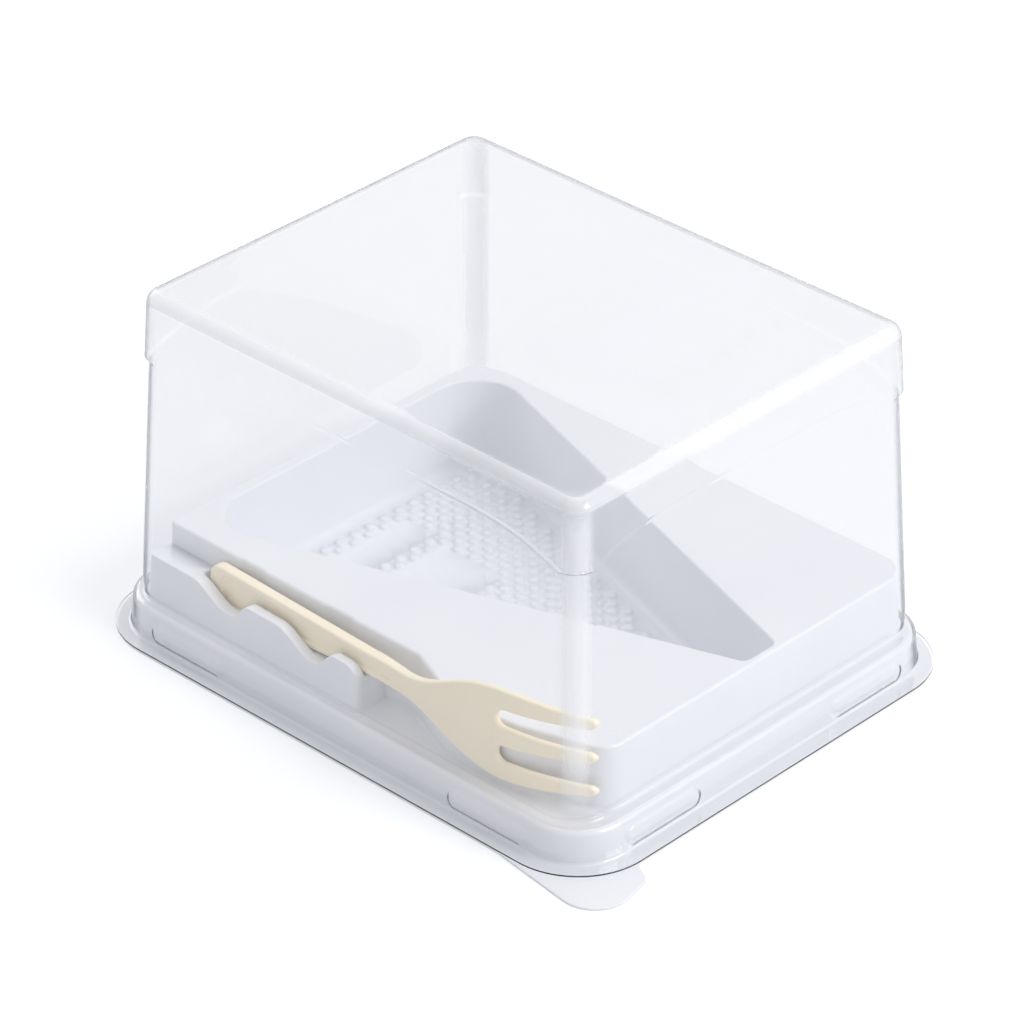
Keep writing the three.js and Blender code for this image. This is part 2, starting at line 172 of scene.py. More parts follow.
lamp_aim = Vector((0, 0, 0.03))
softbox("key_box", (1.1, 0.35, 0.75), 0.7, 8.0)
softbox("top_box", (-0.15, 0.35, 1.3), 0.9, 3.2)
softbox("left_box", (-1.3, 0.15, 0.6), 0.8, 3.2)


# Clear lid. One sheet of clear plastic, formed over a mould: a dome with a cap band, a ledge, a
# skirt with snap lugs and a flat flange. Its outer face is a stack of rounded rectangles, and
# Solidify gives the sheet its thickness.
lid_wall = 0.4 * mm
tray_wall = 0.45 * mm
nest_gap = 0.35 * mm
flange_half = np.array([82.85, 67.5]) * mm
flange_corner = 19.6 * mm
skirt_half = np.array([77.6, 62.8]) * mm
skirt_corner = 14.0 * mm
skirt_top = 9.85 * mm
skirt_slope = 0.1
skirt_fillet = 1.6 * mm
skirt_foot = 0.7 * mm
dome_top = 92.5 * mm
dome_foot_half = np.array([73.75, 59.85]) * mm
dome_slope = 0.0505
dome_corner = 7.6 * mm
dome_top_corner = 6.0 * mm
cap_corner = 4.8 * mm
cap_height = 12.5 * mm
cap_proud = 0.3 * mm
cap_drop = 5.5 * mm
cap_drop_reach = 11 * mm
cap_share = 0.45
cap_fade_reach = 34 * mm
cap_step = 0.7 * mm
foot_flare = 2.0 * mm
flare_height = 4.0 * mm
ledge_fillet = 0.9 * mm
top_fillet = 3.2 * mm
lug_length = 26.0 * mm
lug_height = 6.0 * mm
lug_middle = 4.7 * mm
lug_ramp = 1.5 * mm
lid_lug_proud = 0.7 * mm
tray_lug_proud = 0.45 * mm
front_lug_place = 49.5 * mm
side_lug_place = 35.5 * mm

corner_steps = 20
corner_signs = np.array([[1, 1], [-1, 1], [-1, -1], [1, -1]])


def rectangle_columns(edge_stops):
    """Columns round a rounded rectangle, shared by all its rows.

    Each corner is an arc of equal steps. Each straight edge is cut at the given fractions of its
    length. A column is a blend between two arc points: both the same on a corner, the ends of the
    edge on an edge. Returns their signs, angles and blend, and each column's edge number or -1.
    """
    sign_a, sign_b, angle_a, angle_b, blend, edge = [], [], [], [], [], []
    for k in range(4):
        arc = (k + np.linspace(0, 1, corner_steps + 1)) * np.pi / 2
        stops = edge_stops[k % 2]
        sign_a += [np.repeat(corner_signs[k:k + 1], len(arc) + len(stops), axis=0)]
        sign_b += [np.repeat(corner_signs[k:k + 1], len(arc), axis=0)]
        sign_b += [np.repeat(corner_signs[(k + 1) % 4][None], len(stops), axis=0)]
        angle_a += [arc, np.full(len(stops), arc[-1])]
        angle_b += [arc, np.full(len(stops), arc[-1])]
        blend += [np.zeros(len(arc)), stops]
        edge += [np.full(len(arc), -1), np.full(len(stops), k)]
    return (np.concatenate(sign_a), np.concatenate(sign_b), np.concatenate(angle_a),
            np.concatenate(angle_b), np.concatenate(blend), np.concatenate(edge))


def edge_stops(length, places):
    """Fractions of an edge of this length: fine near its ends and near the lugs, coarse between."""
    half_lug = lug_length / 2
    fine = [place + side * (half_lug - depth) for place in places for side in (-1, 1)
            for depth in np.linspace(-0.4 * mm, 3.4 * mm, 9)]
    coarse = np.linspace(-length / 2, length / 2, 25)[1:-1]
    ends = [side * (length / 2 - step) for side in (-1, 1) for step in (0.5 * mm, 1.5 * mm)]
    stops = np.sort(np.concatenate([fine, coarse, ends]))
    stops = stops[np.abs(stops) < length / 2 - 0.3 * mm]
    keep = np.concatenate([[True], np.diff(stops) > 0.25 * mm])
    return 0.5 + stops[keep] / length


straight = 2 * (skirt_half - skirt_corner)
columns = rectangle_columns([
    edge_stops(straight[0], [-front_lug_place, front_lug_place]),
    edge_stops(straight[1], [-side_lug_place, side_lug_place]),
])


def rounded_rows(half, radius, height):
    """Rows of a rounded rectangle: corner centre plus radius times the corner's direction.

    Half is (rows, 2) or (rows, columns, 2), radius and height are (rows,) or (rows, columns).
    """
    sign_a, sign_b, angle_a, angle_b, blend, _ = columns
    count = len(blend)
    half = np.broadcast_to(half if half.ndim == 3 else half[:, None, :], (len(half), count, 2))
    radius = np.broadcast_to(radius if radius.ndim == 2 else radius[:, None], half.shape[:2])
    height = np.broadcast_to(height if height.ndim == 2 else height[:, None], half.shape[:2])
    ends = []
    for sign, angle in ((sign_a, angle_a), (sign_b, angle_b)):
        direction = np.stack([np.cos(angle), np.sin(angle)], axis=1)
        ends.append(sign * (half - radius[..., None]) + radius[..., None] * direction)
    plan = ends[0] * (1 - blend[:, None]) + ends[1] * blend[:, None]
    return np.dstack([plan, height])


def lug_rise(rows, proud, shrink):
    """How far the lugs push the skirt out: proud times a ramp of the depth inside a long slot shape.

    The depth is the slot's half height less the distance to its middle line, and the ramp is a
    smooth step over the ramp's width. Returns the rows moved outwards.
    """
    edge = columns[5]
    moved = rows.copy()
    for k in range(4):
        here = edge == k
        long = k % 2 == 0
        along = rows[:, here, 0 if long else 1]
        place = front_lug_place if long else side_lug_place
        middle = (lug_length - lug_height) / 2
        beyond = np.maximum(np.abs(np.abs(along) - place) - middle, 0)
        distance = np.hypot(beyond, rows[:, here, 2] - lug_middle)
        depth = np.clip((lug_height / 2 - shrink - distance) / lug_ramp, 0, 1)
        push = proud * depth * depth * (3 - 2 * depth)
        direction = (k + 1) * np.pi / 2
        moved[:, here, 0] += push * np.cos(direction)
        moved[:, here, 1] += push * np.sin(direction)
    return moved


def skirt_rows(offset, proud, flange_top, flange_edge):
    """Rows from the ledge over the bead, down the skirt and out along the flange.

    All is drawn in by offset: the lid is made with none, and the tray with the lid's wall and gap.
    """
    top = skirt_top - offset
    bead = skirt_fillet - offset * 0.5
    turn = np.linspace(0, np.pi / 2, 8)
    bead_z = top - bead + bead * np.cos(turn)
    bead_out = -bead + bead * np.sin(turn)
    wall_z = np.linspace(top - bead, flange_top + skirt_foot, 17)[1:]
    foot_turn = np.linspace(0, np.pi / 2, 5)[1:]
    foot_z = flange_top + skirt_foot * (1 - np.sin(foot_turn))
    foot_out = skirt_foot * (1 - np.cos(foot_turn))
    z = np.concatenate([[top], bead_z, wall_z, foot_z])
    out = np.concatenate([[-bead - 0.2 * mm], bead_out, np.zeros(len(wall_z)), foot_out])
    lean = skirt_slope * np.clip(top - z, 0, top - flange_top) - offset
    half = skirt_half + (out + lean)[:, None]
    rows = rounded_rows(half, skirt_corner + lean + out, z)
    rows = lug_rise(rows, proud, offset)
    if flange_edge is None:
        return rows
    last = half[-1]
    flat = [0.12, 0.6, 0.95, 0.985, 1.0]
    half = np.array([last + (flange_edge - last) * part for part in flat])
    radius = np.array([skirt_corner + (flange_corner - skirt_corner) * part for part in flat])
    return np.concatenate([rows, rounded_rows(half, radius, np.full(len(flat), flange_top))])


def dome_rows():
    """Rows of the dome from its flat top to the ledge.

    A cap with tighter corners stands proud of the body. The line where it ends lies cap_height
    under the top along the sides and dips towards each corner, and there the outline blends from
    the cap's radius and half size to the body's. At its foot the corners open out to the ledge.
    """
    blend, edge = columns[4:]
    top_half = dome_foot_half - dome_slope * (dome_top - skirt_top)
    straight_length = np.where(edge % 2 == 0, 2 * top_half[0], 2 * top_half[1])
    from_corner = np.where(edge < 0, 0.0, np.minimum(blend, 1 - blend) * straight_length)
    dip = cap_drop * np.exp(-(from_corner / cap_drop_reach) ** 1.2)
    fade = cap_share + (1 - cap_share) * np.exp(-(from_corner / cap_fade_reach) ** 2)
    lower_edge = dome_top - cap_height - dip
    steps, heights = [], []
    turn = np.linspace(0, np.pi / 2, 9)
    for angle in turn:
        steps.append(-top_fillet * (1 - np.sin(angle)))
        heights.append(np.full(len(blend), dome_top - top_fillet * (1 - np.cos(angle))))
    blend_down = np.zeros(len(turn)).tolist()
    cap_foot = heights[-1]
    for part in (0.3, 0.65):
        heights.append(cap_foot + (lower_edge + cap_step - cap_foot) * part)
        steps.append(0.0)
        blend_down.append(0.0)
    for drop in np.linspace(-cap_step, cap_step, 9):
        heights.append(lower_edge - drop)
        steps.append(0.0)
        part = (drop / cap_step + 1) / 2
        blend_down.append(part * part * (3 - 2 * part))
    body_foot = skirt_top + ledge_fillet
    for part in [0.2, 0.4, 0.6, 0.75, 0.85, 0.89, 0.93, 0.97, 1.0]:
        heights.append((lower_edge - cap_step) * (1 - part) + body_foot * part)
        steps.append(0.0)
        blend_down.append(1.0)
    for angle in np.linspace(0, np.pi / 2, 6)[1:]:
        heights.append(np.full(len(blend), skirt_top + ledge_fillet * (1 - np.sin(angle))))
        steps.append(ledge_fillet * (1 - np.cos(angle)))
        blend_down.append(1.0)
    z = np.array(heights)
    down = np.array(blend_down)[:, None]
    out = np.array(steps)[:, None]
    proud = cap_proud * fade * (1 - down)
    half = (dome_foot_half[None, None] - dome_slope * (z[..., None] - skirt_top)
            + (out + proud)[..., None])
    body = dome_top_corner + (dome_corner - dome_top_corner) * (dome_top - z) / (dome_top - skirt_top)
    low = np.clip(1 - (z - skirt_top) / flare_height, 0, 1)
    radius = cap_corner + (body - cap_corner) * down + foot_flare * low * low * (3 - 2 * low) + out
    return rounded_rows(half, np.maximum(radius, 0.8 * mm), z)


def inside_loop(loop, spots):
    """Whether each spot lies inside a closed loop: the count of edges crossed to its right is odd."""
    a = loop[None]
    b = np.roll(loop, -1, axis=0)[None]
    x, y = spots[:, None, 0], spots[:, None, 1]
    spans = (a[..., 1] > y) != (b[..., 1] > y)
    rise = np.where(b[..., 1] == a[..., 1], 1.0, b[..., 1] - a[..., 1])
    cross = a[..., 0] + (b[..., 0] - a[..., 0]) * (y - a[..., 1]) / rise
    return (spans & (x < cross)).sum(axis=1) % 2 == 1


def contour_triangles(outside, holes=(), lines=()):
    """Plan points and triangles of the region inside one closed loop and outside the holes.

    Every loop and open line becomes edges of the triangles, and where they cross there is a point.
    """
    parts, edges, start = [], [], 0
    for loop, closed in [(outside, True)] + [(h, True) for h in holes] + list(lines):
        number = start + np.arange(len(loop))
        pairs = np.stack([number, np.roll(number, -1)], axis=1)
        edges += (pairs if closed else pairs[:-1]).tolist()
        parts.append(loop / mm)
        start += len(loop)
    plan = np.concatenate(parts)
    found, _, triangles, *_ = delaunay_2d_cdt([Vector(p) for p in plan], edges, [], 0, 1e-5)
    found = np.array([list(p) for p in found]) * mm
    triangles = np.array(triangles)
    middle = found[triangles].mean(axis=1)
    keep = inside_loop(outside, middle)
    for hole in holes:
        keep &= ~inside_loop(hole, middle)
    used, triangles = np.unique(triangles[keep], return_inverse=True)
    return found[used], triangles.reshape(-1, 3)


class Sheet:
    """Points and faces of one mesh, gathered part by part and merged where the parts meet."""

    def __init__(self):
        self.points = []
        self.faces = []
        self.count = 0

    def add(self, points, faces):
        """Adds points and the faces between them."""
        self.points.append(points)
        self.faces += (np.asarray(faces) + self.count).tolist()
        self.count += len(points)

    def band(self, rows):
        """Adds closed rows of equal length, joined by four-sided faces, from the inmost row out."""
        count, width = rows.shape[:2]
        index = np.arange(count * width).reshape(count, width)
        inner, outer = index[:-1], index[1:]
        ahead = np.roll(index, -1, axis=1)
        corners = (inner, outer, ahead[1:], ahead[:-1])
        self.add(rows.reshape(-1, 3), np.stack([c.ravel() for c in corners], axis=1))

    def fill(self, outside, holes=(), lines=(), height=None):
        """Fills a region between closed rows. Height gives each point's z, or it stays flat."""
        plan, triangles = contour_triangles(
            outside[:, :2], [hole[:, :2] for hole in holes], lines)
        z = np.full(len(plan), outside[0, 2]) if height is None else height(*plan.T)
        self.add(np.column_stack([plan, z]), triangles)

    def make(self, name):
        """Makes the object, its parts merged where they meet and shaded smooth."""
        mesh = bpy.data.meshes.new(name)
        points = np.concatenate(self.points) + pack_centre
        mesh.from_pydata(points.tolist(), [], self.faces)
        merged = bmesh.new()
        merged.from_mesh(mesh)
        bmesh.ops.remove_doubles(merged, verts=merged.verts, dist=merge_distance)
        bmesh.ops.dissolve_degenerate(merged, edges=merged.edges, dist=merge_distance)
        merged.to_mesh(mesh)
        merged.free()
        mesh.polygons.foreach_set("use_smooth", np.ones(len(mesh.polygons), bool))
        piece = bpy.data.objects.new(name, mesh)
        bpy.context.scene.collection.objects.link(piece)
        return piece


def solidify(piece, wall):
    """Gives a sheet its thickness, inwards from the face that was modelled."""
    modifier = piece.modifiers.new("wall", "SOLIDIFY")
    modifier.thickness = wall
    modifier.offset = -1.0


lid_flange_top = tray_wall + nest_gap + lid_wall
top_hold = (dome_foot_half - dome_slope * (dome_top - skirt_top) - top_fillet - 0.4 * mm)[None]
hold_row = rounded_rows(top_hold, np.array([1.4 * mm]), np.array([dome_top]))
lid_sheet = Sheet()
lid_sheet.fill(hold_row[0])
lid_sheet.band(np.concatenate([
    hold_row, dome_rows(), skirt_rows(0.0, lid_lug_proud, lid_flange_top, flange_half)]))
clear_lid = lid_sheet.make("lid_shell")
solidify(clear_lid, lid_wall)


def finish_group():
    """Node group for formed and moulded plastic.

    Height is a slow wave of the sheet plus a fine grain. Tone is a slow change of shade.
    """
    group = bpy.data.node_groups.new("formed_finish", "ShaderNodeTree")
    for name in ("Wave Scale", "Grain Scale", "Grain Share"):
        group.interface.new_socket(name, in_out="INPUT", socket_type="NodeSocketFloat")
    for name in ("Height", "Tone"):
        group.interface.new_socket(name, in_out="OUTPUT", socket_type="NodeSocketFloat")
    inside = group.nodes.new("NodeGroupInput")
    outside = group.nodes.new("NodeGroupOutput")
    coordinates = group.nodes.new("ShaderNodeTexCoord")
    wave = group.nodes.new("ShaderNodeTexNoise")
    wave.inputs["Detail"].default_value = 1.0
    grain = group.nodes.new("ShaderNodeTexNoise")
    grain.inputs["Detail"].default_value = 2.0
    share = group.nodes.new("ShaderNodeMath")
    share.operation = "MULTIPLY_ADD"
    group.links.new(coordinates.outputs["Object"], wave.inputs["Vector"])
    group.links.new(coordinates.outputs["Object"], grain.inputs["Vector"])
    group.links.new(inside.outputs["Wave Scale"], wave.inputs["Scale"])
    group.links.new(inside.outputs["Grain Scale"], grain.inputs["Scale"])
    group.links.new(grain.outputs["Fac"], share.inputs[0])
    group.links.new(inside.outputs["Grain Share"], share.inputs[1])
    group.links.new(wave.outputs["Fac"], share.inputs[2])
    group.links.new(share.outputs[0], outside.inputs["Height"])
    group.links.new(wave.outputs["Fac"], outside.inputs["Tone"])
    return group


formed_finish = finish_group()


def add_finish(nodes, links, wave, grain, share, strength, distance):
    """Places the finish group and a bump node; returns the group node and the bump's normal."""
    finish = nodes.new("ShaderNodeGroup")
    finish.node_tree = formed_finish
    finish.inputs["Wave Scale"].default_value = wave
    finish.inputs["Grain Scale"].default_value = grain
    finish.inputs["Grain Share"].default_value = share
    bump = nodes.new("ShaderNodeBump")
    bump.inputs["Strength"].default_value = strength
    bump.inputs["Distance"].default_value = distance
    links.new(finish.outputs["Height"], bump.inputs["Height"])
    return finish, bump.outputs["Normal"]


# Marks on the lid's points for its material. A milky white layer lies down the dome's four corners,
# and along its top edges the same layer is a painted highlight. The bent edges are those, the bead
# and
# the skirt, which get painted shade: dark colour where the sheet turns away from the eye, for the
# dark reflections there.
haze_spread = 0.42
haze_foot = 0.25
# Painted highlight: how much of the white layer the top edges get, standing in for their bright
# reflection.
top_edge_painted_highlight = 0.75
spots = np.empty(len(clear_lid.data.vertices) * 3)
clear_lid.data.vertices.foreach_get("co", spots)
spots = spots.reshape(-1, 3) - pack_centre
leaning_half = dome_foot_half - dome_slope * np.clip(spots[:, 2:] - skirt_top, 0, None)
from_corner = np.abs(spots[:, :2]) - leaning_half + dome_corner
on_corner = from_corner.min(axis=1) > 0.1 * mm
around = np.arctan2(from_corner[:, 1], from_corner[:, 0]) - np.pi / 4
band = np.exp(-(around / haze_spread) ** 4) * on_corner
height_part = (spots[:, 2] - skirt_top) / (dome_top - skirt_top)
fade = np.clip(height_part / haze_foot, 0, 1) * np.clip((1.02 - height_part) / 0.1, 0, 1)
on_top_edge = (spots[:, 2] < dome_top - 0.01 * mm) & (spots[:, 2] > dome_top - top_fillet)
haze_and_highlight_layer = clear_lid.data.attributes.new("corner_haze_and_painted_highlight", "FLOAT", "POINT")
# The corners get a milky white layer, and the top edges get the same layer as a painted highlight.
amount = np.maximum(band * fade * (height_part > 0), top_edge_painted_highlight * on_top_edge)
haze_and_highlight_layer.data.foreach_set("value", amount.astype(np.float32))
# Painted shade mark: the edges whose colour the material darkens at grazing angles, standing in for
# dark reflections.
on_skirt = (spots[:, 2] < skirt_top + 0.8 * mm) & (spots[:, 2] > lid_wall * 2.6)
bend = clear_lid.data.attributes.new("painted_edge_shade", "FLOAT", "POINT")
bend.data.foreach_set("value", (on_corner | on_top_edge | on_skirt).astype(np.float32))

clear_plastic, nodes, links, out = new_material("clear_formed_sheet")
sheet = nodes.new("ShaderNodeBsdfPrincipled")
sheet.inputs["Roughness"].default_value = 0.02
sheet.inputs["IOR"].default_value = 1.5
sheet.inputs["Transmission Weight"].default_value = 1.0
_, sheet_normal = add_finish(nodes, links, 22.0, 420.0, 0.01, 0.25, 0.4 * mm)
links.new(sheet_normal, sheet.inputs["Normal"])
facing = nodes.new("ShaderNodeLayerWeight")
facing.inputs["Blend"].default_value = 0.5
edge_part = nodes.new("ShaderNodeMapRange")
edge_part.interpolation_type = "SMOOTHSTEP"
edge_part.inputs["From Min"].default_value = 0.5
edge_part.inputs["From Max"].default_value = 0.76
links.new(facing.outputs["Facing"], edge_part.inputs["Value"])
# Painted shade: the base colour falls to near black on the marked edges as they turn away from the
# eye.
tint_and_painted_edge_shade = nodes.new("ShaderNodeMix")
tint_and_painted_edge_shade.data_type = "RGBA"
tint_and_painted_edge_shade.inputs[6].default_value = (0.925, 0.924, 0.93, 1.0)
tint_and_painted_edge_shade.inputs[7].default_value = (0.05, 0.06, 0.09, 1.0)
edge_shade_read = nodes.new("ShaderNodeAttribute")
edge_shade_read.attribute_name = "painted_edge_shade"
painted_edge_shade_part = nodes.new("ShaderNodeMath")
painted_edge_shade_part.operation = "MULTIPLY"
links.new(edge_shade_read.outputs["Fac"], painted_edge_shade_part.inputs[0])
links.new(edge_part.outputs["Result"], painted_edge_shade_part.inputs[1])
links.new(painted_edge_shade_part.outputs[0], tint_and_painted_edge_shade.inputs[0])
links.new(tint_and_painted_edge_shade.outputs[2], sheet.inputs["Base Color"])
through = nodes.new("ShaderNodeBsdfTransparent")
through.inputs["Color"].default_value = (0.985, 0.986, 0.99, 1.0)
path = nodes.new("ShaderNodeLightPath")
unseen = nodes.new("ShaderNodeMath")
unseen.operation = "MAXIMUM"
links.new(path.outputs["Is Shadow Ray"], unseen.inputs[0])
links.new(path.outputs["Is Diffuse Ray"], unseen.inputs[1])
# White diffuse layer: milky down the corners, and a painted highlight along the top edges.
mist_and_highlight = nodes.new("ShaderNodeBsdfDiffuse")
mist_and_highlight.inputs["Color"].default_value = (0.93, 0.94, 0.96, 1.0)
haze_and_highlight_read = nodes.new("ShaderNodeAttribute")
haze_and_highlight_read.attribute_name = "corner_haze_and_painted_highlight"
haze_and_highlight_level = nodes.new("ShaderNodeMath")
haze_and_highlight_level.operation = "MULTIPLY"
haze_and_highlight_level.inputs[1].default_value = 0.4
links.new(haze_and_highlight_read.outputs["Fac"], haze_and_highlight_level.inputs[0])
hazed_and_highlighted = nodes.new("ShaderNodeMixShader")
links.new(haze_and_highlight_level.outputs[0], hazed_and_highlighted.inputs["Fac"])
links.new(sheet.outputs[0], hazed_and_highlighted.inputs[1])
links.new(mist_and_highlight.outputs[0], hazed_and_highlighted.inputs[2])
clear_mix = nodes.new("ShaderNodeMixShader")
links.new(unseen.outputs[0], clear_mix.inputs["Fac"])
links.new(hazed_and_highlighted.outputs[0], clear_mix.inputs[1])
links.new(through.outputs[0], clear_mix.inputs[2])
links.new(clear_mix.outputs[0], out.inputs["Surface"])
clear_lid.data.materials.append(clear_plastic)
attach(clear_lid, "lid")
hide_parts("clear_lid")


# White tray. One thin sheet of white plastic, formed in one: flange with a pull tab, skirt with
# lugs, plinth and wedge pocket. Bands of outlines make its walls and rounded edges, and flat
# fills join the bands.
plinth_top = 25.8 * mm
step_back = 48.8 * mm
bulge_reach = 54.6 * mm
nose_reach = 47.4 * mm
plinth_right = 71.9 * mm
plinth_back = 58.0 * mm
plinth_left = 70.6 * mm
ledge = skirt_top - lid_wall - nest_gap
pocket_floor = 3.0 * mm
pocket_slope = 0.1
plinth_corners = np.array([
    [-plinth_left, -step_back, 2 * mm], [14 * mm, -step_back, 3 * mm],
    [28 * mm, -bulge_reach, 9 * mm], [48 * mm, -bulge_reach, 26 * mm],
    [plinth_right, -nose_reach, 6 * mm], [plinth_right, plinth_back, 7.6 * mm],
    [-plinth_left, plinth_back, 10 * mm]])
pocket_corners = np.array([
    [-66.8 * mm, -45.4 * mm, 12 * mm], [70.0 * mm, 0.8 * mm, 2.5 * mm],
    [70.0 * mm, 11.4 * mm, 2.5 * mm], [-66.8 * mm, 57.6 * mm, 12 * mm]])


def rounded_loop(corners, inset, spacing, arc_steps=10, closed=True):
    """Outline of a rounded polygon, drawn in by inset, as points in order.

    Each side moves in along its normal. Outside corners lose the inset from their radius, inside
    corners gain it. Sides are cut into equal lengths near the spacing, counted on the outline
    that isn't drawn in, so that every inset gives the same number of points. An open outline
    leaves out its last side.
    """
    place, radius = corners[:, :2], corners[:, 2]

    def corner_arcs(inset):
        to_next = np.roll(place, -1, axis=0) - place
        to_next /= np.linalg.norm(to_next, axis=1)[:, None]
        from_last = np.roll(to_next, 1, axis=0)
        normal_in = np.stack([-from_last[:, 1], from_last[:, 0]], axis=1)
        normal_out = np.stack([-to_next[:, 1], to_next[:, 0]], axis=1)
        cross = from_last[:, 0] * to_next[:, 1] - from_last[:, 1] * to_next[:, 0]
        turn = np.arctan2(cross, (from_last * to_next).sum(axis=1))
        side = np.sign(turn)
        share = 1 + (normal_in * normal_out).sum(axis=1)
        corner = place + (normal_in + normal_out) * (inset / share)[:, None]
        rounded = np.maximum(radius - side * inset, 0.1 * mm)
        start = corner - from_last * (rounded * np.tan(np.abs(turn) / 2))[:, None]
        centre = start + normal_in * (side * rounded)[:, None]
        first = np.arctan2(*(start - centre).T[::-1])
        angle = first[:, None] + turn[:, None] * np.linspace(0, 1, arc_steps + 1)
        return centre[:, None] + rounded[:, None, None] * np.dstack([np.cos(angle), np.sin(angle)])

    plain = corner_arcs(0.0)
    arcs = corner_arcs(inset)
    loop = []
    for k in range(len(arcs)):
        loop.append(arcs[k])
        after = (k + 1) % len(arcs)
        if after == 0 and not closed:
            break
        length = np.linalg.norm(plain[after][0] - plain[k][-1])
        cuts = np.linspace(0, 1, max(int(round(length / spacing)), 1) + 1)[1:-1, None]
        loop.append(arcs[k][-1] * (1 - cuts) + arcs[after][0] * cuts)
    return np.concatenate(loop)


def outline_rows(corners, levels, spacing):
    """Rows of one rounded outline: levels are pairs of inset and height."""
    rows = []
    for inset, z in levels:
        plan = rounded_loop(corners, inset, spacing)
        rows.append(np.column_stack([plan, np.full(len(plan), z)]))
    return np.array(rows)


def smooth_step(t):
    """Smooth rise from 0 to 1 as t does: three t squared less two t cubed."""
    t = np.clip(t, 0, 1)
    return t * t * (3 - 2 * t)


def round_edge(radius, steps):
    """Offsets and drops along a quarter circle, from its level end to its upright end."""
    turn = np.linspace(0, np.pi / 2, steps)
    return radius * np.sin(turn), radius * (1 - np.cos(turn))


rim_fillet = 0.6 * mm
floor_fillet = 2.0 * mm
plinth_fillet = 0.8 * mm
foot_fillet = 1.0 * mm
support = 0.15 * mm

out, up = round_edge(floor_fillet, 8)
floor_z = pocket_floor + up
floor_inset = pocket_slope * (plinth_top - floor_z) + floor_fillet - out
wall_z = np.linspace(floor_z[-1], plinth_top - rim_fillet, 5)[1:-1]
out, down = round_edge(rim_fillet, 6)
rim_z = (plinth_top - down)[::-1]
rim_inset = (out - rim_fillet)[::-1]
pocket_levels = [(floor_inset[0] + support, pocket_floor)]
pocket_levels += list(zip(floor_inset, floor_z))
pocket_levels += [(pocket_slope * (plinth_top - z), z) for z in wall_z]
pocket_levels += list(zip(rim_inset, rim_z))
pocket_levels += [(-rim_fillet - support, plinth_top)]
pocket_rows = outline_rows(pocket_corners, pocket_levels, 2.5 * mm)

out, down = round_edge(plinth_fillet, 6)
plinth_levels = [(plinth_fillet + support, plinth_top)]
plinth_levels += [(plinth_fillet - o - dome_slope * d, plinth_top - d) for o, d in zip(out, down)]
wall_z = np.linspace(plinth_top - plinth_fillet, ledge + foot_fillet, 6)[1:]
plinth_levels += [(-dome_slope * (plinth_top - z), z) for z in wall_z]
foot_out, foot_up = round_edge(foot_fillet, 6)
foot_lean = -dome_slope * (plinth_top - ledge - foot_fillet)
plinth_levels += [(foot_lean - foot_fillet + o, ledge + u)
                  for o, u in zip(foot_out[::-1][1:], foot_up[::-1][1:])]
plinth_rows = outline_rows(plinth_corners, plinth_levels, 0.7 * mm)

# Finger recesses: two shallow notches in the plinth's front wall, beside the rail's scallops.
scallop_places = np.array([-41.6, -12.4]) * mm
notch_half = 4.3 * mm
notch_depth = 0.35 * mm
front_side = plinth_rows[..., 1] < -0.8 * step_back
for place in scallop_places:
    reach = np.abs(plinth_rows[..., 0] - place)
    notch = smooth_step((notch_half - reach) / (0.8 * mm) + 0.5)
    plinth_rows[..., 1] += notch_depth * notch * front_side

tray_offset = lid_wall + nest_gap
tray_skirt = skirt_rows(tray_offset, tray_lug_proud, tray_wall, None)

tab_reach = 9.8 * mm
tab_drop = 4.5 * mm
tab_width = 20.3 * mm
tab_skew = 4.5 * mm
tab_corner = 3 * mm
tab_root = 56 * mm
flange_x, flange_y = flange_half - nest_gap
tab_front = -flange_half[1] - tab_drop
tab_tip_x = flange_half[0] + tab_reach
tab_back = tab_front + tab_width
flange_corners = np.array([
    [-flange_x, -flange_y, flange_corner], [tab_root, -flange_y, 14 * mm],
    [tab_tip_x, tab_front, 9 * mm], [tab_tip_x - tab_skew, tab_back, tab_corner],
    [flange_x, tab_back + tab_corner, tab_corner],
    [flange_x, flange_y, flange_corner], [-flange_x, flange_y, flange_corner]])
flange_rows = outline_rows(flange_corners, [(0.3 * mm, tray_wall), (0.0, tray_wall)], 3.0 * mm)

# Pads on the pocket's floor: rows of small pillows at 45 degrees, with a bar and a panel left plain.
pad_pitch = 3.65 * mm
pad_half = 1.45 * mm
pad_height = 0.6 * mm
pad_rings = np.array([1.0, 0.86, 0.55])
pad_rise = np.array([0.0, 0.8, 1.0])
plain_bar = np.array([[-55.2, -24.0], [-46.5, 16.0]]) * mm
plain_panel = np.array([[-40.0, -30.0], [-21.0, 13.0]]) * mm
pad_turn = np.array([[1, -1], [1, 1]]) / np.sqrt(2)


